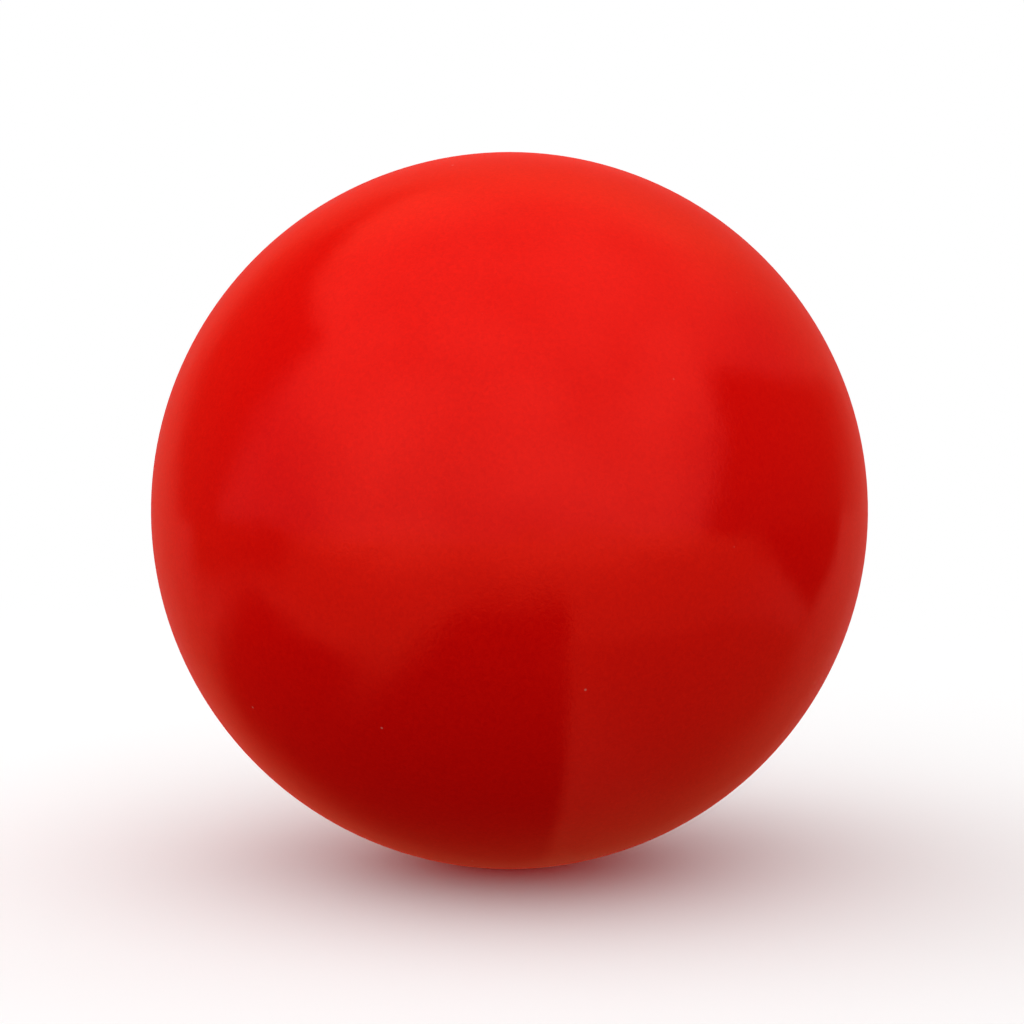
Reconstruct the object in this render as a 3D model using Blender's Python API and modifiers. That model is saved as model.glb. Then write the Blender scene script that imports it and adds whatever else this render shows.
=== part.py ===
"""Rhythmic gymnastics ball: a moulded hollow skin, a flanged valve bush behind its one hole, and a plug.

Metres, +Z up. The origin is the ball's centre. The ball stands on the small flat that its own weight presses
into it at -Z, and its valve looks along +Y.
"""

import math

import bpy

# The skin
BALL_DIAMETER = 0.185
WALL_THICKNESS = 0.0032
FLAT_DEPTH = 0.0005  # how far the ball's weight presses it flat on the floor

# The plug
STEM_RADIUS = 0.0029  # right under the head
STEM_LENGTH = 0.0150
STEM_TAPER_DEG = 2.0
HEAD_OVERHANG = 0.0021  # how far the head reaches past the stem
HEAD_THICKNESS = 0.0013
HEAD_EDGE_ROUND = 0.0004
RIB_COUNT = 3
RIB_HEIGHT = 0.0003
RIB_WIDTH = 0.0011  # at its foot
RIB_CREST_WIDTH = 0.0004
RIB_MARGIN = 0.0028  # from the head, and from the tip, to the middle of the nearest rib
TIP_CHAMFER = 0.0005
CORE_WALL = 0.0011  # of the hollow stem, at its tip
CORE_FLOOR = 0.0045  # solid length left under the head

# The valve bush
COLLAR_WIDTH = 0.0016  # of the ring that shows round the head
COLLAR_EDGE_ROUND = 0.0003
FLANGE_OVERLAP = 0.0100  # how far the flange reaches past the hole, behind the wall
FLANGE_THICKNESS = 0.0024  # at the neck
FLANGE_EDGE_THICKNESS = 0.0008
NECK_WALL = 0.0022
NECK_LENGTH = 0.0150  # from the wall's inner face
NECK_FILLET = 0.0012  # where the neck meets the flange
NECK_END_ROUND = 0.0008

# Clearances
BOND_CLEARANCE = 0.0003  # bush to wall
PLUG_CLEARANCE = 0.0003  # plug to bush

# Facets
BALL_SEGMENTS = 64
VALVE_SEGMENTS = 40
ROUND_STEPS = 4  # along each small rounding
FACE_STEPS = 5  # across each spherical face of the valve
SHARP_EDGE_DEG = 35.0
MERGE_DISTANCE = 0.00001

BALL_RADIUS = BALL_DIAMETER / 2
HEAD_RADIUS = STEM_RADIUS + HEAD_OVERHANG
POCKET_RADIUS = HEAD_RADIUS + PLUG_CLEARANCE
COLLAR_RADIUS = POCKET_RADIUS + COLLAR_WIDTH
HOLE_RADIUS = COLLAR_RADIUS + BOND_CLEARANCE
FLANGE_RADIUS = HOLE_RADIUS + FLANGE_OVERLAP
BORE_RADIUS = STEM_RADIUS + RIB_HEIGHT + PLUG_CLEARANCE
NECK_RADIUS = BORE_RADIUS + NECK_WALL
TAPER = math.tan(math.radians(STEM_TAPER_DEG))


def clear_scene():
    for obj in list(bpy.data.objects):
        bpy.data.objects.remove(obj)


def new_collection(name):
    collection = bpy.data.collections.new(name)
    bpy.context.scene.collection.children.link(collection)
    return collection


def new_material(name, colour, roughness):
    material = bpy.data.materials.new(name)
    material.use_nodes = True
    shader = material.node_tree.nodes["Principled BSDF"]
    shader.inputs["Base Color"].default_value = (*colour, 1.0)
    shader.inputs["Roughness"].default_value = roughness
    shader.inputs["Metallic"].default_value = 0.0
    return material


def spread(start, end, steps):
    """Evenly spaced values, both ends included."""
    return [start + (end - start) * step / steps for step in range(steps + 1)]


def sphere_height(radius, sphere_radius=BALL_RADIUS):
    """Height over the valve's origin, this far from its axis, of a sphere round the ball's centre."""
    return math.sqrt(sphere_radius**2 - radius**2) - BALL_RADIUS


def sphere_face(start, end, sphere_radius=BALL_RADIUS):
    """Points across a spherical face of the valve, from one distance from its axis to another."""
    return [(radius, sphere_height(radius, sphere_radius)) for radius in spread(start, end, FACE_STEPS)]


def rounding(centre, radius, start_deg, end_deg):
    """Points along a small arc. An angle of 0 points away from the axis, and 90 points up."""
    angles = [math.radians(angle) for angle in spread(start_deg, end_deg, ROUND_STEPS)]
    return [(centre[0] + radius * math.cos(angle), centre[1] + radius * math.sin(angle)) for angle in angles]


def turned(name, outline, segments, collection, material, closed=False):
    """An outline of (radius, height) points that runs down its outer side, turned about the local Z axis."""
    mesh = bpy.data.meshes.new(name)
    edges = [(point, point + 1) for point in range(len(outline) - 1)]
    if closed:
        edges.append((len(outline) - 1, 0))
    mesh.from_pydata([(radius, 0.0, height) for radius, height in outline], edges, [])
    mesh.materials.append(material)
    obj = bpy.data.objects.new(name, mesh)
    collection.objects.link(obj)
    screw = obj.modifiers.new("Turn", "SCREW")
    screw.axis = "Z"
    screw.angle = math.tau
    screw.steps = segments
    screw.render_steps = segments
    screw.use_merge_vertices = True
    screw.merge_threshold = MERGE_DISTANCE
    screw.use_smooth_shade = True
    return obj


def keep_edges_sharp(obj):
    """Applies the object's modifiers and shades it smooth everywhere but at its real edges."""
    evaluated = obj.evaluated_get(bpy.context.evaluated_depsgraph_get())
    mesh = bpy.data.meshes.new_from_object(evaluated)
    obj.modifiers.clear()
    obj.data = mesh
    mesh.name = obj.name
    mesh.shade_smooth()
    mesh.set_sharp_from_angle(angle=math.radians(SHARP_EDGE_DEG))


def make_valve_axis(collection):
    """The valve's frame: on the skin at +Y, with its own Z axis pointing straight out of the ball."""
    axis = bpy.data.objects.new("valve_axis", None)
    axis.location = (0.0, BALL_RADIUS, 0.0)
    axis.rotation_euler = (-math.pi / 2, 0.0, 0.0)
    collection.objects.link(axis)
    return axis


def shell_outline():
    """Half of the ball's outside: from the top to the equator, the rim of the flat and the flat's middle."""
    floor_height = FLAT_DEPTH - BALL_RADIUS
    rim_angle = math.acos(floor_height / BALL_RADIUS)
    rings = BALL_SEGMENTS // 4
    angles = spread(0.0, math.pi / 2, rings) + spread(math.pi / 2, rim_angle, rings)[1:]
    arc = [(BALL_RADIUS * math.sin(angle), BALL_RADIUS * math.cos(angle)) for angle in angles]
    return arc + [(0.0, floor_height)]


def make_hole_cutter(collection, valve_axis):
    """A plain cylinder on the valve's axis, half a ball radius to either side of the skin."""
    bpy.ops.mesh.primitive_cylinder_add(vertices=VALVE_SEGMENTS, radius=HOLE_RADIUS, depth=BALL_RADIUS)
    cutter = bpy.context.active_object
    cutter.name = "valve_hole_cutter"
    for old in list(cutter.users_collection):
        old.objects.unlink(cutter)
    collection.objects.link(cutter)
    cutter.parent = valve_axis
    cutter.hide_render = True
    cutter.display_type = "WIRE"
    return cutter


def make_shell(collection, cutter, material):
    """The skin: the turned outside, its wall added inwards, and the one hole for the valve."""
    shell = turned("shell", shell_outline(), BALL_SEGMENTS, collection, material)
    wall = shell.modifiers.new("Wall", "SOLIDIFY")
    wall.thickness = WALL_THICKNESS
    wall.offset = -1.0
    wall.use_even_offset = True
    hole = shell.modifiers.new("Valve hole", "BOOLEAN")
    hole.operation = "DIFFERENCE"
    hole.solver = "EXACT"
    hole.object = cutter


def head_underside():
    return sphere_height(HEAD_RADIUS) - HEAD_THICKNESS


def pocket_floor():
    """Height of the step in the bush that the plug's head comes down on."""
    return head_underside() - PLUG_CLEARANCE


def wall_face_radius():
    """The sphere that the flange follows. It clears the wall's facets, whose middles lie inside the round."""
    facet_inset = BALL_RADIUS * (1 - math.cos(math.pi / BALL_SEGMENTS) ** 2)
    return BALL_RADIUS - facet_inset - WALL_THICKNESS - BOND_CLEARANCE


def seat_outline():
    """The bush's section: collar, flange, neck, tapered bore and the pocket for the plug's head."""
    wall_face = wall_face_radius()
    pocket_edge = POCKET_RADIUS + COLLAR_EDGE_ROUND
    collar_edge = COLLAR_RADIUS - COLLAR_EDGE_ROUND
    flange_edge = sphere_height(FLANGE_RADIUS, wall_face) - FLANGE_EDGE_THICKNESS
    flange_back = sphere_height(NECK_RADIUS, wall_face - FLANGE_THICKNESS)
    fillet_centre = (NECK_RADIUS + NECK_FILLET, flange_back - NECK_FILLET)
    neck_end = -WALL_THICKNESS - NECK_LENGTH
    neck_end_centre = (NECK_RADIUS - NECK_END_ROUND, neck_end + NECK_END_ROUND)
    bore_end_radius = BORE_RADIUS - TAPER * (pocket_floor() - neck_end)

    outline = [(POCKET_RADIUS, sphere_height(pocket_edge) - COLLAR_EDGE_ROUND)]
    outline += sphere_face(pocket_edge, collar_edge)
    outline += [(COLLAR_RADIUS, sphere_height(collar_edge) - COLLAR_EDGE_ROUND)]
    outline += sphere_face(COLLAR_RADIUS, FLANGE_RADIUS, wall_face)
    outline += [(FLANGE_RADIUS, flange_edge)]
    outline += rounding(fillet_centre, NECK_FILLET, 90, 180)
    outline += rounding(neck_end_centre, NECK_END_ROUND, 0, -90)
    outline += [(bore_end_radius, neck_end), (BORE_RADIUS, pocket_floor()), (POCKET_RADIUS, pocket_floor())]
    return outline


def stem_point(depth, proud=0.0):
    """A point on the tapered stem at this depth under the head, or standing proud of it."""
    return (STEM_RADIUS - TAPER * depth + proud, head_underside() - depth)


def rib_outline(middle):
    """One sealing rib round this depth of the stem: a slope out to a narrow crest, and a slope back."""
    half_foot = RIB_WIDTH / 2
    half_crest = RIB_CREST_WIDTH / 2
    return [
        stem_point(middle - half_foot),
        stem_point(middle - half_crest, RIB_HEIGHT),
        stem_point(middle + half_crest, RIB_HEIGHT),
        stem_point(middle + half_foot),
    ]


def plug_outline():
    """The plug's half section: head curved like the skin, ribbed stem, chamfered tip and blind core."""
    edge = HEAD_RADIUS - HEAD_EDGE_ROUND
    edge_centre = (edge, sphere_height(edge) - HEAD_EDGE_ROUND)
    tip_radius, tip = stem_point(STEM_LENGTH)
    core_radius = tip_radius - CORE_WALL
    core_floor = head_underside() - CORE_FLOOR

    outline = sphere_face(0.0, edge)
    outline += rounding(edge_centre, HEAD_EDGE_ROUND, 90, 0)[1:]
    outline += [(HEAD_RADIUS, head_underside()), stem_point(0.0)]
    for middle in spread(RIB_MARGIN, STEM_LENGTH - RIB_MARGIN, RIB_COUNT - 1):
        outline += rib_outline(middle)
    outline += [stem_point(STEM_LENGTH - TIP_CHAMFER), (tip_radius - TIP_CHAMFER, tip)]
    outline += [(core_radius, tip), (core_radius, core_floor), (0.0, core_floor)]
    return outline


def make_valve_seat(collection, valve_axis, material):
    seat = turned("valve_seat", seat_outline(), VALVE_SEGMENTS, collection, material, closed=True)
    keep_edges_sharp(seat)
    seat.parent = valve_axis


def make_valve_plug(collection, valve_axis, material):
    plug = turned("valve_plug", plug_outline(), VALVE_SEGMENTS, collection, material)
    keep_edges_sharp(plug)
    plug.parent = valve_axis


def main():
    clear_scene()
    parts = new_collection("rhythmic_gymnastics_ball")
    cutters = new_collection("cutters")
    valve_axis = make_valve_axis(parts)
    hole_cutter = make_hole_cutter(cutters, valve_axis)
    make_shell(parts, hole_cutter, new_material("red_skin", (0.72, 0.006, 0.004), 0.28))
    make_valve_seat(parts, valve_axis, new_material("red_bush", (0.50, 0.006, 0.005), 0.45))
    make_valve_plug(parts, valve_axis, new_material("white_plug", (0.80, 0.78, 0.74), 0.40))


main()
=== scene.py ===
"""Looks of the rhythmic gymnastics ball: its fine skin, valve bush and plug, on a pale floor in soft light.

Metres, +Z up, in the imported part's frame: the ball's centre is the origin and the valve looks along +Y.
"""

import math

import bmesh
import bpy
from mathutils import Matrix, Quaternion, Vector


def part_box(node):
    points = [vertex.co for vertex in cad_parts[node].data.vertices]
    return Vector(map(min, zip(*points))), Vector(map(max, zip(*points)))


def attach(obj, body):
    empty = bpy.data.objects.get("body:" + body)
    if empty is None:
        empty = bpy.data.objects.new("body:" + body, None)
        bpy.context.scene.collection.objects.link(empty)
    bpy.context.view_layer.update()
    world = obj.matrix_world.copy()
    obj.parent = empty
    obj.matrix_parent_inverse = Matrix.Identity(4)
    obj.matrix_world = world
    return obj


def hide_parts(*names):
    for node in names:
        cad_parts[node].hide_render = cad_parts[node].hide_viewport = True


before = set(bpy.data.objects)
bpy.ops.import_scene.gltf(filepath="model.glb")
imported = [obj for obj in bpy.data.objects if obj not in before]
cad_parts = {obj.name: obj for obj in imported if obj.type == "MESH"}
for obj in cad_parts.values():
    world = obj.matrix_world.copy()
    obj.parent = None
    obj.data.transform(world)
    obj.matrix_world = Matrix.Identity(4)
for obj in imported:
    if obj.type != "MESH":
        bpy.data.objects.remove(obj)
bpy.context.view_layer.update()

# Sizes read from the frame
SHELL_LOW, SHELL_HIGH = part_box("shell")
SEAT_LOW, SEAT_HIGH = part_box("valve_seat")
PLUG_LOW, PLUG_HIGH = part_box("valve_plug")
BALL_RADIUS = SHELL_HIGH.x
FLOOR_HEIGHT = SHELL_LOW.z
FLANGE_RADIUS = SEAT_HIGH.x
NECK_END = SEAT_LOW.y
HEAD_RADIUS = PLUG_HIGH.x
PLUG_TIP = PLUG_LOW.y

# The skin
WALL_THICKNESS = 0.0032
HOLE_RADIUS = 0.0072
HOLE_LIP_ROUND = 0.0005
MOULD_LINE_HEIGHT = 0.00002
MOULD_LINE_WIDTH = 0.0003
FLANGE_PRINT_HEIGHT = 0.00006  # how far the flange's edge shows through the skin
FLANGE_PRINT_WIDTH = 0.0016

# The valve bush
COLLAR_RADIUS = 0.0070
POCKET_RADIUS = 0.0053
COLLAR_ROUND = 0.00035
FLANGE_GAP = 0.0005  # flange to wall
FLANGE_THICKNESS = 0.0024
FLANGE_EDGE_THICKNESS = 0.0008
FLANGE_EDGE_START_DEG = 60.0  # where the round edge takes over from the curved face
NECK_RADIUS = 0.0057
NECK_FILLET = 0.0012
NECK_ROUND = 0.0008
BORE_RADIUS = 0.0035

# The plug
HEAD_THICKNESS = 0.0013
HEAD_ROUND = 0.0004
HEAD_GAP = 0.0003  # head to the pocket's floor
GATE_RADIUS = 0.0011  # the moulding mark in the middle of the head
GATE_DEPTH = 0.00018
STEM_RADIUS = 0.0029
TAPER = math.tan(math.radians(2.0))
RIB_COUNT = 3
RIB_HEIGHT = 0.0003
RIB_WIDTH = 0.0011
RIB_MARGIN = 0.0028
TIP_ROUND = 0.0005
CORE_WALL = 0.0011
CORE_FLOOR = 0.0045

# Mesh density
SKIN_SEGMENTS = 192
RIDGE_RING = 0.00015  # width of a ring of faces on a moulded ridge
RING_GROWTH = 0.2  # how fast the rings widen with the distance from a ridge
WIDEST_RING = 0.0022
INNER_RINGS = 48
VALVE_SEGMENTS = 128
ROUND_STEPS = 6
FACE_STEPS = 10
SHARP_EDGE_DEG = 40.0
MERGE_DISTANCE = 1e-7

# The picture
IMAGE_PX = 1024
BALL_CENTRE_PX = (509.5, 510.5)
BALL_RADIUS_PX = 358.6
SENSOR_MM = 36.0
LENS_MM = 100.0
CAMERA_ELEVATION_DEG = 6.0

# Noise in the finishes
NOISE_DETAIL = 2.0  # where a finish gives none of its own
NOISE_LOW = 0.3  # most of a noise lies between these two
NOISE_HIGH = 0.7

# The skin's finish. Cells are counted to the metre, depths are metres
SKIN_DEEP_RED = (0.68, 0.001, 0.001, 1.0)
SKIN_RED = (0.725, 0.001, 0.001, 1.0)
SKIN_GRAIN_RED = (0.785, 0.003, 0.001, 1.0)
DRIFT_CELLS = 9.0  # the slow drift of the colour
DRIFT_DETAIL = 6.0
GRAIN_CELLS = 1100.0
GRAIN_DETAIL = 3.0
GRAIN_DISTORTION = 1.0
GRAIN_DEPTH = 0.00006
GRAIN_STRENGTH = 0.6
WAVE_CELLS = 32.0  # the faint unevenness of a blown-up skin
WAVE_DEPTH = 0.0010
WAVE_STRENGTH = 0.6
MARK_CELLS = 24.0  # handling marks
MARK_DETAIL = 5.0
SKIN_ROUGHNESS = (0.09, 0.14)
DUST_COLOUR = (0.75, 0.42, 0.36, 1.0)
DUST_CELLS = 62.0
DUST_EDGE = (0.006, 0.026)  # where a speck starts to thin out, and where it ends, in cells
DUST_COVER = 0.35
SKIN_GLOSS = {
    "Metallic": 0.10,  # tints the reflections red
    "Specular IOR Level": 0.0,
    "Specular Tint": (1.0, 0.75, 0.5, 1.0),
    "Coat Weight": 0.042,
    "Coat Roughness": 0.11,
    "Coat IOR": 2.1,
    "Sheen Weight": 0.80,
    "Sheen Roughness": 0.35,
    "Sheen Tint": (1.0, 0.04, 0.02, 1.0),
}

# The finish of the moulded bush and plug
BUSH_DEEP_RED = (0.48, 0.004, 0.003, 1.0)
BUSH_RED = (0.56, 0.006, 0.004, 1.0)
BUSH_ROUGHNESS = (0.36, 0.52)
BUSH_SPECULAR = 0.18
PLUG_WHITE = (0.80, 0.78, 0.73, 1.0)
PLUG_YELLOWED = (0.74, 0.71, 0.65, 1.0)
PLUG_ROUGHNESS = (0.34, 0.48)
PLUG_SPECULAR = 0.5
TONE_CELLS = 250.0
SMEAR_CELLS = 450.0  # uneven gloss
MOULDED_DETAIL = 4.0
FINE_GRAIN_CELLS = 3200.0
FINE_GRAIN_DEPTH = 0.00002
FINE_GRAIN_STRENGTH = 0.35

# Light. A place is an azimuth and an elevation in degrees, and a distance
WHITE = (1.0, 1.0, 1.0, 1.0)
WHITE_STRENGTH = 1.0  # renders as plain white
FLOOR_SIZE = 8.0
FLOOR_COLOUR = (0.90, 0.90, 0.90, 1.0)
FLOOR_GLOW_ON_BALL = 0.28  # the floor's even light on the ball, a painted glow that stands in for its bounce light
FLOOR_FADE = (0.14, 0.55)  # where the floor starts to turn white, and where it is white
AMBIENT = 0.68
KEY_PLACE = (-20.0, 57.0, 1.1)
KEY_SIZE = (3.4, 2.44)
KEY_RADIANCE = 0.60
BACK_LEFT_PLACE = (-118.0, 20.0, 1.4)
BACK_LEFT_RADIANCE = 1.1
BACK_RIGHT_PLACE = (135.0, 28.0, 1.4)
BACK_RIGHT_RADIANCE = 0.55
BACK_SIZE = (1.6, 1.2)

# Cards that only reflections show. The first two corners make one edge, the others the edge opposite
# The key's glow is a painted reflection: a card that glows only in the gloss, in place of the key softbox,
# which the gloss doesn't see
GLOW_PLACE = (0.0, 65.0, 1.6)
GLOW_RADIANCE = 2.25
GLOW_CORNERS = [(-84, -86), (84, -74), (52, 86), (-56, 86)]  # degrees across and up from the glow's middle
LEFT_CORNERS = [(-122, -14), (-101, -14), (-71, 46), (-186, 52)]  # azimuth and elevation in degrees
RIGHT_CORNERS = [(50, -16), (140, -16), (162, 2), (77, 41)]
FLOOR_CORNERS = [(-4.0, -4.0), (4.0, -4.0), (1.0, 0.2), (-1.0, 0.2)]  # metres on the floor
FAR_FLOOR_CORNERS = [(-4.0, -4.0), (4.0, -4.0), (1.2, -0.17), (-1.2, -0.17)]
LEFT_FLOOR_CORNERS = [(-0.22, 0.06), (-0.26, -0.13), (-2.5, -1.2), (-2.5, 1.6)]
# The right floor, front and front left cards are black: painted shadow on the floor, seen only in the gloss
RIGHT_FLOOR_CORNERS = [(0.19, 0.03), (1.8, -0.60), (2.6, 2.0), (0.36, 0.16)]
FRONT_CORNERS = [(-0.078, -0.36), (0.100, -0.36), (0.004, -0.004), (-0.093, -0.004)]
FRONT_LEFT_CORNERS = [(-0.46, -0.06), (-0.06, -0.155), (0.02, -0.05), (-0.15, 0.08)]
FRONT_RIGHT_CORNERS = [(0.02, -0.21), (0.22, -0.12), (0.24, 0.05), (0.01, -0.03)]
FLOOR_CARD_HEIGHT = 0.001  # over the floor, and different for each card that lies there
FAR_FLOOR_HEIGHT = 0.0015
FRONT_HEIGHT = 0.002
FRONT_LEFT_HEIGHT = 0.004
RIGHT_FLOOR_HEIGHT = 0.006
FRONT_RIGHT_HEIGHT = 0.008
LEFT_FLOOR_HEIGHT = 0.010
CARD_DISTANCE = 1.2
CARD_STEPS = 24
CARD_COLOUR = (1.0, 0.96, 0.70, 1.0)
FLOOR_CARD_COLOUR = (1.0, 0.92, 0.45, 1.0)
CARD_MOTTLE = 0.18
CARD_MOTTLE_CELLS = 1.6
BLACK = 0.02
DARK = 0.18
DARK_GREY = 0.30
MID_GREY = 0.55
PALE_GREY = 0.85
PALE = 1.9
CRISP = 0.06  # how much of half a card an edge takes to fade
FIRM = 0.17
SOFT = 0.35
BLURRED = 0.5
LONG = 0.85


def spread(start, end, steps):
    """Evenly spaced values, both ends included."""
    return [start + (end - start) * step / steps for step in range(steps + 1)]


def arc(centre, radius, start_deg, end_deg):
    """Points along a small arc. An angle of 0 points away from the valve's axis, and 90 out of the ball."""
    away, out = centre
    angles = [math.radians(angle) for angle in spread(start_deg, end_deg, ROUND_STEPS)]
    return [(away + radius * math.cos(angle), out + radius * math.sin(angle)) for angle in angles]


def along_axis(radius, sphere_radius=BALL_RADIUS):
    """Place along the valve's axis of a sphere round the ball's centre, this far from the axis."""
    return math.sqrt(sphere_radius**2 - radius**2)


def sphere_face(start, end, sphere_radius=BALL_RADIUS):
    """Points across a spherical face of the valve, from one distance from its axis to another."""
    return [(radius, along_axis(radius, sphere_radius)) for radius in spread(start, end, FACE_STEPS)]


def turned(name, segments, *outlines):
    """A mesh of outlines of (distance from the axis, place along it), turned about the valve's axis."""
    bm = bmesh.new()
    for outline in outlines:
        points = [bm.verts.new((radius, along, 0.0)) for radius, along in outline]
        edges = [bm.edges.new(pair) for pair in zip(points, points[1:])]
        bmesh.ops.spin(
            bm,
            geom=points + edges,
            cent=(0.0, 0.0, 0.0),
            axis=(0.0, 1.0, 0.0),
            angle=math.tau,
            steps=segments,
            use_merge=True,
        )
    bmesh.ops.remove_doubles(bm, verts=bm.verts, dist=MERGE_DISTANCE)
    bmesh.ops.recalc_face_normals(bm, faces=bm.faces)
    mesh = bpy.data.meshes.new(name)
    bm.to_mesh(mesh)
    bm.free()
    mesh.shade_smooth()
    mesh.set_sharp_from_angle(angle=math.radians(SHARP_EDGE_DEG))
    obj = bpy.data.objects.new(name, mesh)
    bpy.context.scene.collection.objects.link(obj)
    return obj


def ridge(distance, width):
    """A smooth ridge: 1 on its line, and gone about two widths away."""
    return math.exp(-((distance / width) ** 2))


def from_line(angle):
    """Distance along the skin from the mould line, at this angle from the valve's axis."""
    return (angle - math.pi / 2) * BALL_RADIUS


def from_print(angle):
    """Distance along the skin from the print of the flange's edge."""
    return (angle - math.asin(FLANGE_RADIUS / BALL_RADIUS)) * BALL_RADIUS


def skin_point(angle):
    """A point of the outside at this angle from the valve's axis: round but for two faint ridges."""
    radius = BALL_RADIUS
    radius += MOULD_LINE_HEIGHT * ridge(from_line(angle), MOULD_LINE_WIDTH)
    radius += FLANGE_PRINT_HEIGHT * ridge(from_print(angle), FLANGE_PRINT_WIDTH)
    return (radius * math.sin(angle), radius * math.cos(angle))


def ring_angles(start):
    """Angles past start, to near the far pole, closer together on and beside the two ridges."""
    angles = []
    angle = start
    while angle < math.pi - WIDEST_RING / BALL_RADIUS:
        from_ridge = min(abs(from_line(angle)), abs(from_print(angle)))
        angle += min(RIDGE_RING + RING_GROWTH * from_ridge, WIDEST_RING) / BALL_RADIUS
        angles.append(angle)
    return angles


def outside_outline():
    """The hole's wall and rounded lip, and the outside from there to the far pole."""
    lip = HOLE_RADIUS + HOLE_LIP_ROUND
    lip_centre = (lip, along_axis(lip) - HOLE_LIP_ROUND)
    rings = ring_angles(math.asin(lip / BALL_RADIUS))
    hole = [(HOLE_RADIUS, along_axis(HOLE_RADIUS, BALL_RADIUS - WALL_THICKNESS))]
    hole += arc(lip_centre, HOLE_LIP_ROUND, 180, 90)
    return hole + [skin_point(angle) for angle in rings] + [(0.0, -BALL_RADIUS)]


def inside_outline():
    """The wall's inner face, from the far pole back to the hole."""
    radius = BALL_RADIUS - WALL_THICKNESS
    angles = spread(math.pi, math.asin(HOLE_RADIUS / radius), INNER_RINGS)[1:]
    return [(0.0, -radius)] + [(radius * math.sin(angle), radius * math.cos(angle)) for angle in angles]


def press_flat(skin):
    """Presses the bottom of the skin flat on the floor, and its inner face one wall higher."""
    middle_of_wall = BALL_RADIUS - WALL_THICKNESS / 2
    for vertex in skin.data.vertices:
        inside = vertex.co.length < middle_of_wall
        lowest = FLOOR_HEIGHT + (WALL_THICKNESS if inside else 0.0)
        vertex.co.z = max(vertex.co.z, lowest)


def head_underside():
    """Place along the valve's axis of the flat underside of the plug's head."""
    return along_axis(HEAD_RADIUS) - HEAD_THICKNESS


def bush_outline():
    """The bush's section: collar, flange, neck, tapered bore and the pocket for the plug's head."""
    wall_face = BALL_RADIUS - WALL_THICKNESS - FLANGE_GAP
    pocket_floor = head_underside() - HEAD_GAP
    pocket_edge = POCKET_RADIUS + COLLAR_ROUND
    collar_edge = COLLAR_RADIUS - COLLAR_ROUND
    flange_edge = along_axis(FLANGE_RADIUS, wall_face) - FLANGE_EDGE_THICKNESS / 2
    flange_back = along_axis(NECK_RADIUS, wall_face - FLANGE_THICKNESS)
    bore_end = BORE_RADIUS - TAPER * (pocket_floor - NECK_END)
    edge_centre = (FLANGE_RADIUS - FLANGE_EDGE_THICKNESS / 2, flange_edge)

    outline = arc((pocket_edge, along_axis(pocket_edge) - COLLAR_ROUND), COLLAR_ROUND, 180, 90)
    outline += arc((collar_edge, along_axis(collar_edge) - COLLAR_ROUND), COLLAR_ROUND, 90, 0)
    outline += sphere_face(COLLAR_RADIUS, edge_centre[0], wall_face)
    outline += arc(edge_centre, FLANGE_EDGE_THICKNESS / 2, FLANGE_EDGE_START_DEG, -90)
    outline += arc((NECK_RADIUS + NECK_FILLET, flange_back - NECK_FILLET), NECK_FILLET, 90, 180)
    outline += arc((NECK_RADIUS - NECK_ROUND, NECK_END + NECK_ROUND), NECK_ROUND, 0, -90)
    outline += [(bore_end, NECK_END), (BORE_RADIUS, pocket_floor), (POCKET_RADIUS, pocket_floor)]
    return outline + outline[:1]


def stem_point(depth, proud=0.0):
    """A point on the tapered stem at this depth under the head, or standing proud of it."""
    return (STEM_RADIUS - TAPER * depth + proud, head_underside() - depth)


def rib_outline(middle):
    """One rounded sealing rib round this depth of the stem."""
    offsets = spread(-RIB_WIDTH / 2, RIB_WIDTH / 2, 2 * ROUND_STEPS)
    return [
        stem_point(middle + offset, RIB_HEIGHT * math.cos(math.pi * offset / RIB_WIDTH) ** 2)
        for offset in offsets
    ]


def plug_outline():
    """The plug's half section: gate mark, curved head, ribbed stem, round tip and blind core."""
    edge = HEAD_RADIUS - HEAD_ROUND
    stem_length = head_underside() - PLUG_TIP
    tip_radius = stem_point(stem_length)[0]
    core_radius = tip_radius - CORE_WALL
    core_floor = head_underside() - CORE_FLOOR

    gate = [
        (radius, along_axis(radius) - GATE_DEPTH * math.cos(math.pi / 2 * radius / GATE_RADIUS) ** 2)
        for radius in spread(0.0, GATE_RADIUS, ROUND_STEPS)
    ]
    outline = gate + sphere_face(GATE_RADIUS, edge)[1:]
    outline += arc((edge, along_axis(edge) - HEAD_ROUND), HEAD_ROUND, 90, 0)[1:]
    outline += [(HEAD_RADIUS, head_underside()), stem_point(0.0)]
    for middle in spread(RIB_MARGIN, stem_length - RIB_MARGIN, RIB_COUNT - 1):
        outline += rib_outline(middle)
    outline += arc((tip_radius - TIP_ROUND, PLUG_TIP + TIP_ROUND), TIP_ROUND, 0, -90)
    return outline + [(core_radius, PLUG_TIP), (core_radius, core_floor), (0.0, core_floor)]


def feed(tree, node, inputs):
    """Sets a node's inputs. Each takes a value, or the socket that feeds it."""
    for name, value in inputs.items():
        if isinstance(value, bpy.types.NodeSocket):
            tree.links.new(value, node.inputs[name])
        else:
            node.inputs[name].default_value = value


def add_node(tree, kind, inputs, **settings):
    """A shader node with its inputs and settings."""
    node = tree.nodes.new(kind)
    for name, value in settings.items():
        setattr(node, name, value)
    feed(tree, node, inputs)
    return node


def new_material(name):
    """A material with its node tree and Principled shader."""
    material = bpy.data.materials.new(name)
    material.use_nodes = True
    return material, material.node_tree, material.node_tree.nodes["Principled BSDF"]


def noise(tree, scale, detail=NOISE_DETAIL, distortion=0.0):
    """Noise that is fixed to the piece, with this many cells to the metre."""
    place = add_node(tree, "ShaderNodeTexCoord", {}).outputs["Object"]
    inputs = {"Vector": place, "Scale": scale, "Detail": detail, "Distortion": distortion}
    return add_node(tree, "ShaderNodeTexNoise", inputs).outputs["Fac"]


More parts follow.
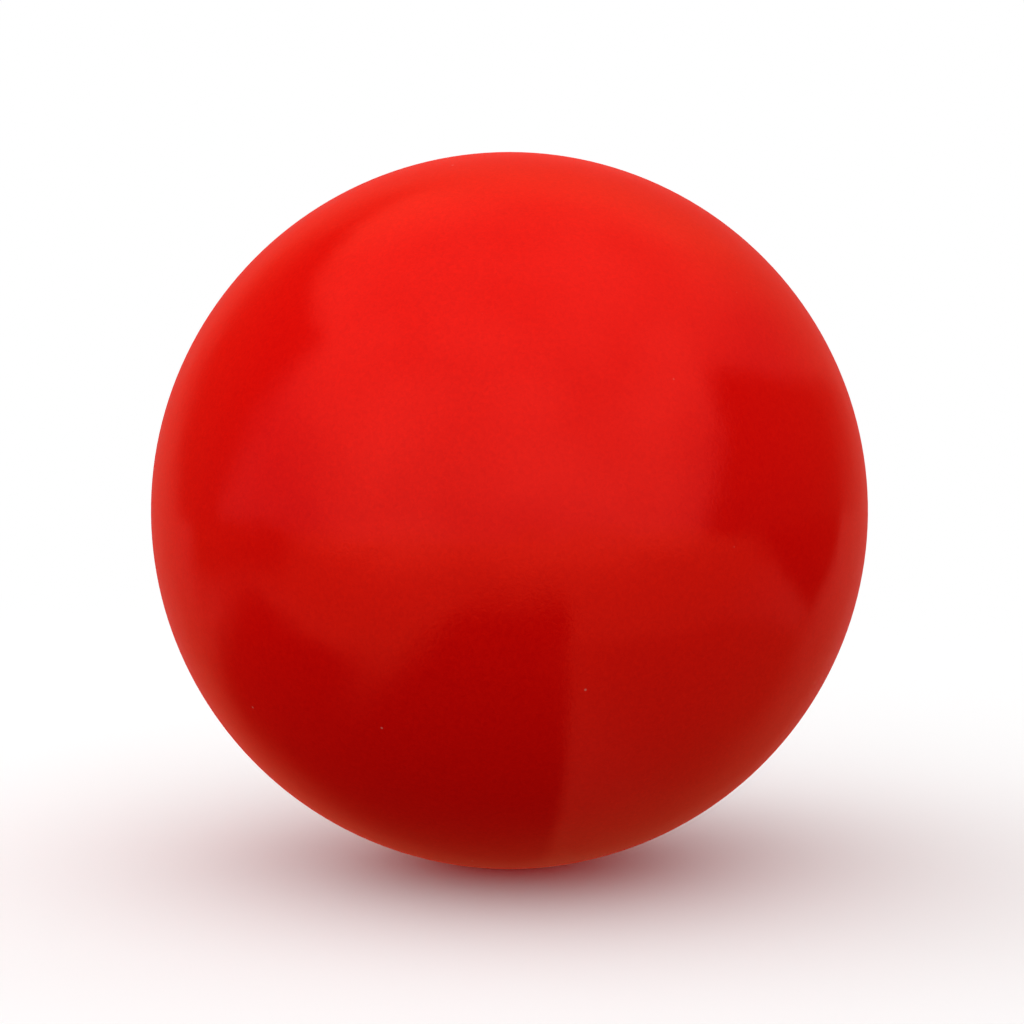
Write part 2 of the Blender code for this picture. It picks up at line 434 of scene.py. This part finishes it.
def mapped(tree, value, low=0.0, high=1.0, start=NOISE_LOW, end=NOISE_HIGH):
    """Stretches the part of a value from start to end to the range from low to high."""
    inputs = {"Value": value, "From Min": start, "From Max": end, "To Min": low, "To Max": high}
    return add_node(tree, "ShaderNodeMapRange", inputs).outputs["Result"]


def mixed(tree, factor, first, second):
    """Two colours mixed by a factor from 0 to 1."""
    inputs = {"Fac": factor, "Color1": first, "Color2": second}
    return add_node(tree, "ShaderNodeMixRGB", inputs).outputs["Color"]


def bumped(tree, height, depth, strength, normal=None):
    """A normal that follows a height, on top of another normal if there is one."""
    inputs = {"Height": height, "Distance": depth, "Strength": strength}
    if normal is not None:
        inputs["Normal"] = normal
    return add_node(tree, "ShaderNodeBump", inputs).outputs["Normal"]


def dust(tree):
    """How much a few specks of dust cover, each under a millimetre wide, and 0 elsewhere."""
    place = add_node(tree, "ShaderNodeTexCoord", {}).outputs["Object"]
    cells = add_node(tree, "ShaderNodeTexVoronoi", {"Vector": place, "Scale": DUST_CELLS})
    return mapped(tree, cells.outputs["Distance"], DUST_COVER, 0.0, *DUST_EDGE)


def skin_material():
    """Smooth red skin, half glossy, with a fine grain, faint waves, handling marks and a little dust."""
    material, tree, shader = new_material("ball_skin")
    grain = noise(tree, GRAIN_CELLS, GRAIN_DETAIL, GRAIN_DISTORTION)
    drift = mixed(tree, mapped(tree, noise(tree, DRIFT_CELLS, DRIFT_DETAIL)), SKIN_DEEP_RED, SKIN_RED)
    grained = mixed(tree, mapped(tree, grain), drift, SKIN_GRAIN_RED)
    waves = bumped(tree, noise(tree, WAVE_CELLS), WAVE_DEPTH, WAVE_STRENGTH)
    rough = bumped(tree, grain, GRAIN_DEPTH, GRAIN_STRENGTH, waves)
    surface = {
        "Base Color": mixed(tree, dust(tree), grained, DUST_COLOUR),
        "Roughness": mapped(tree, noise(tree, MARK_CELLS, MARK_DETAIL), *SKIN_ROUGHNESS),
        "Normal": rough,
        "Coat Normal": rough,
    }
    feed(tree, shader, surface | SKIN_GLOSS)
    return material


def moulded_material(name, first, second, roughness, specular):
    """A plain moulded face: two close tones, uneven gloss and a very fine grain."""
    material, tree, shader = new_material(name)
    surface = {
        "Base Color": mixed(tree, mapped(tree, noise(tree, TONE_CELLS, MOULDED_DETAIL)), first, second),
        "Roughness": mapped(tree, noise(tree, SMEAR_CELLS, MOULDED_DETAIL), *roughness),
        "Normal": bumped(tree, noise(tree, FINE_GRAIN_CELLS), FINE_GRAIN_DEPTH, FINE_GRAIN_STRENGTH),
        "Specular IOR Level": specular,
    }
    feed(tree, shader, surface)
    return material


def bush_material():
    """The skin's red compound with the duller face of an insert."""
    return moulded_material("valve_bush", BUSH_DEEP_RED, BUSH_RED, BUSH_ROUGHNESS, BUSH_SPECULAR)


def plug_material():
    """Soft white plastic, a little yellowed."""
    return moulded_material("valve_plug", PLUG_WHITE, PLUG_YELLOWED, PLUG_ROUGHNESS, PLUG_SPECULAR)


def dress(piece, body, node, material):
    """Gives a piece its material, and makes it ride on its body in place of its node."""
    piece.data.materials.append(material)
    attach(piece, body)
    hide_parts(node)


def make_ball():
    """The skin, and the bush and plug of its valve."""
    skin = turned("ball_skin", SKIN_SEGMENTS, outside_outline(), inside_outline())
    press_flat(skin)
    dress(skin, "ball", "shell", skin_material())
    bush = turned("valve_bush", VALVE_SEGMENTS, bush_outline())
    dress(bush, "ball", "valve_seat", bush_material())
    plug = turned("valve_stopper", VALVE_SEGMENTS, plug_outline())
    dress(plug, "plug", "valve_plug", plug_material())


def seen_directly(tree):
    """1 for what the camera, a gloss or a clear surface looks at, and 0 for the light on a surface."""
    path = add_node(tree, "ShaderNodeLightPath", {}).outputs
    inputs = {0: path["Is Camera Ray"], 1: path["Is Glossy Ray"]}
    seen = add_node(tree, "ShaderNodeMath", inputs, operation="ADD").outputs[0]
    inputs = {0: seen, 1: path["Is Transmission Ray"]}
    return add_node(tree, "ShaderNodeMath", inputs, operation="ADD", use_clamp=True).outputs[0]


def glow(tree, colour, strength):
    """A surface that gives off an even light."""
    return add_node(tree, "ShaderNodeEmission", {"Color": colour, "Strength": strength}).outputs["Emission"]


def blended(tree, factor, first, second):
    """Two surfaces mixed by a factor from 0 to 1."""
    return add_node(tree, "ShaderNodeMixShader", {0: factor, 1: first, 2: second}).outputs["Shader"]


def bare_material(name):
    """A material with an empty node tree."""
    material = bpy.data.materials.new(name)
    material.use_nodes = True
    material.node_tree.nodes.clear()
    return material, material.node_tree


def floor_material():
    """Pale where the shadow lies, and white further out. On the ball its light is an even painted glow, in
    place of its bounce light.
    """
    material, tree = bare_material("floor")
    pale = add_node(tree, "ShaderNodeBsdfDiffuse", {"Color": FLOOR_COLOUR}).outputs["BSDF"]
    place = add_node(tree, "ShaderNodeTexCoord", {}).outputs["Object"]
    away = add_node(tree, "ShaderNodeVectorMath", {0: place}, operation="LENGTH").outputs["Value"]
    inputs = {"Value": away, "From Min": FLOOR_FADE[0], "From Max": FLOOR_FADE[1]}
    fade = add_node(tree, "ShaderNodeMapRange", inputs, interpolation_type="SMOOTHSTEP").outputs["Result"]
    shown = blended(tree, fade, pale, glow(tree, WHITE, WHITE_STRENGTH))
    # the light the floor throws on the ball is an even painted glow, not its bounce
    surface = blended(tree, seen_directly(tree), glow(tree, WHITE, FLOOR_GLOW_ON_BALL), shown)
    add_node(tree, "ShaderNodeOutputMaterial", {"Surface": surface})
    return material


def make_floor():
    """A plain pale floor that keeps the shadow."""
    bpy.ops.mesh.primitive_plane_add(size=FLOOR_SIZE, location=(0.0, 0.0, FLOOR_HEIGHT))
    floor = bpy.context.active_object
    floor.name = "floor"
    floor.data.materials.append(floor_material())


def make_world():
    """White to look at, and a soft even light on everything."""
    world = bpy.data.worlds.new("studio")
    world.use_nodes = True
    tree = world.node_tree
    tree.nodes.clear()
    light = add_node(tree, "ShaderNodeBackground", {"Color": WHITE, "Strength": AMBIENT})
    white = add_node(tree, "ShaderNodeBackground", {"Color": WHITE, "Strength": WHITE_STRENGTH})
    surface = blended(tree, seen_directly(tree), light.outputs["Background"], white.outputs["Background"])
    add_node(tree, "ShaderNodeOutputWorld", {"Surface": surface})
    bpy.context.scene.world = world


def direction(azimuth_deg, elevation_deg):
    """From the ball's centre outwards. Azimuth 0 is the camera's side, and 90 is on its right."""
    azimuth, elevation = math.radians(azimuth_deg), math.radians(elevation_deg)
    across, up = math.cos(elevation), math.sin(elevation)
    return Vector((math.sin(azimuth) * across, -math.cos(azimuth) * across, up))


def facing(azimuth_deg, elevation_deg, distance):
    """The place of something that faces the ball from this direction."""
    towards = direction(azimuth_deg, elevation_deg)
    return Matrix.LocRotScale(towards * distance, towards.to_track_quat("Z", "Y"), None)


def add_softbox(name, place, size, radiance):
    """A rectangular softbox that faces the ball."""
    light = bpy.data.lights.new(name, "AREA")
    light.shape = "RECTANGLE"
    light.size, light.size_y = size
    light.energy = radiance * math.pi * size[0] * size[1]
    softbox = bpy.data.objects.new(name, light)
    softbox.matrix_world = facing(*place)
    softbox.visible_camera = False
    softbox.visible_glossy = False
    bpy.context.scene.collection.objects.link(softbox)


def faded(place, fades):
    """How much of a card is left at a place from -1 to 1 along it. It fades at both ends."""
    ramp = min(1.0, (1.0 + place) / fades[0], (1.0 - place) / fades[1])
    return ramp * ramp * (3.0 - 2.0 * ramp)


def card_material(name, colour, radiance):
    """A mottled glow that thins out where the card's cover does."""
    material, tree = bare_material(name)
    cover = add_node(tree, "ShaderNodeAttribute", {}, attribute_name="cover").outputs["Fac"]
    clear = add_node(tree, "ShaderNodeBsdfTransparent", {}).outputs["BSDF"]
    low, high = (1.0 - CARD_MOTTLE) * radiance, (1.0 + CARD_MOTTLE) * radiance
    mottled = glow(tree, colour, mapped(tree, noise(tree, CARD_MOTTLE_CELLS), low, high))
    add_node(tree, "ShaderNodeOutputMaterial", {"Surface": blended(tree, cover, clear, mottled)})
    return material


def add_card(name, place, corners, colour, radiance, fades_across, fades_along):
    """A soft-edged card that only reflections show. place turns a corner's two numbers into a point."""
    first, second, third, fourth = [Vector(corner) for corner in corners]
    bm = bmesh.new()
    cover = bm.verts.layers.float.new("cover")
    bmesh.ops.create_grid(bm, x_segments=CARD_STEPS, y_segments=CARD_STEPS, size=1.0)
    for vertex in bm.verts:
        u, v, _ = vertex.co
        vertex[cover] = faded(u, fades_across) * faded(v, fades_along)
        near, far = first.lerp(second, (u + 1) / 2), fourth.lerp(third, (u + 1) / 2)
        vertex.co = place(*near.lerp(far, (v + 1) / 2))
    mesh = bpy.data.meshes.new(name)
    bm.to_mesh(mesh)
    bm.free()
    mesh.materials.append(card_material(name, colour, radiance))
    card = bpy.data.objects.new(name, mesh)
    card.visible_camera = False
    card.visible_diffuse = False
    card.visible_shadow = False
    bpy.context.scene.collection.objects.link(card)


def around(azimuth_deg, elevation_deg):
    """A point of the walls round the ball."""
    return direction(azimuth_deg, elevation_deg) * CARD_DISTANCE


def add_floor_card(name, height, corners, radiance, fades_across, fades_along):
    """A card that lies just over the floor, at this height."""

    def over_floor(x, y):
        return Vector((x, y, FLOOR_HEIGHT + height))

    add_card(name, over_floor, corners, FLOOR_CARD_COLOUR, radiance, fades_across, fades_along)


def overhead(across_deg, up_deg):
    """A point of the dome over the ball, at these angles from the dome's middle."""
    azimuth_deg, elevation_deg, distance = GLOW_PLACE
    turn = Quaternion((math.radians(-up_deg), math.radians(across_deg), 0.0))
    return facing(azimuth_deg, elevation_deg, 0.0) @ (turn @ Vector((0.0, 0.0, distance)))


def make_cards():
    """What the gloss of the skin shows: a painted reflection of the key as a soft glow, dark sides, and a
    floor with darker places, three of them black patches of painted shadow.
    """
    firm, soft, blurred = (FIRM, FIRM), (SOFT, SOFT), (BLURRED, BLURRED)
    # painted reflection of the key softbox
    add_card("key_glow", overhead, GLOW_CORNERS, CARD_COLOUR, GLOW_RADIANCE, soft, soft)
    add_card("left_card", around, LEFT_CORNERS, CARD_COLOUR, DARK, (LONG, SOFT), (SOFT, FIRM))
    add_card("right_card", around, RIGHT_CORNERS, CARD_COLOUR, DARK, (FIRM, LONG), firm)
    add_floor_card("floor_card", FLOOR_CARD_HEIGHT, FLOOR_CORNERS, PALE_GREY, firm, firm)
    add_floor_card("far_floor_card", FAR_FLOOR_HEIGHT, FAR_FLOOR_CORNERS, PALE, firm, (FIRM, SOFT))
    # the three black floor cards are painted shadow on the floor, seen only in the gloss
    add_floor_card("front_card", FRONT_HEIGHT, FRONT_CORNERS, BLACK, (BLURRED, CRISP), (LONG, SOFT))
    uneven = (LONG, BLURRED)
    add_floor_card("front_left_card", FRONT_LEFT_HEIGHT, FRONT_LEFT_CORNERS, BLACK, uneven, blurred)
    add_floor_card("right_floor_card", RIGHT_FLOOR_HEIGHT, RIGHT_FLOOR_CORNERS, BLACK, (CRISP, FIRM), firm)
    add_floor_card("front_right_card", FRONT_RIGHT_HEIGHT, FRONT_RIGHT_CORNERS, MID_GREY, blurred, blurred)
    add_floor_card("left_floor_card", LEFT_FLOOR_HEIGHT, LEFT_FLOOR_CORNERS, DARK_GREY, soft, firm)


def make_camera():
    """A camera that sees the ball as large, and as near the middle, as the photograph does."""
    focal_px = IMAGE_PX * LENS_MM / SENSOR_MM
    distance = BALL_RADIUS / math.sin(math.atan(BALL_RADIUS_PX / focal_px))
    place = facing(0.0, CAMERA_ELEVATION_DEG, distance)
    offset_px = Vector((IMAGE_PX / 2 - BALL_CENTRE_PX[0], BALL_CENTRE_PX[1] - IMAGE_PX / 2, 0.0))
    aim = place.to_3x3() @ offset_px * (distance / focal_px)
    data = bpy.data.cameras.new("camera")
    data.sensor_width = SENSOR_MM
    data.lens = LENS_MM
    camera = bpy.data.objects.new("camera", data)
    camera.location = place.translation
    camera.rotation_euler = (camera.location - aim).to_track_quat("Z", "Y").to_euler()
    bpy.context.scene.collection.objects.link(camera)
    bpy.context.scene.camera = camera


bpy.context.scene.view_settings.view_transform = "Standard"
make_ball()
make_floor()
make_world()
add_softbox("key_softbox", KEY_PLACE, KEY_SIZE, KEY_RADIANCE)
add_softbox("back_left_softbox", BACK_LEFT_PLACE, BACK_SIZE, BACK_LEFT_RADIANCE)
add_softbox("back_right_softbox", BACK_RIGHT_PLACE, BACK_SIZE, BACK_RIGHT_RADIANCE)
make_cards()
make_camera()
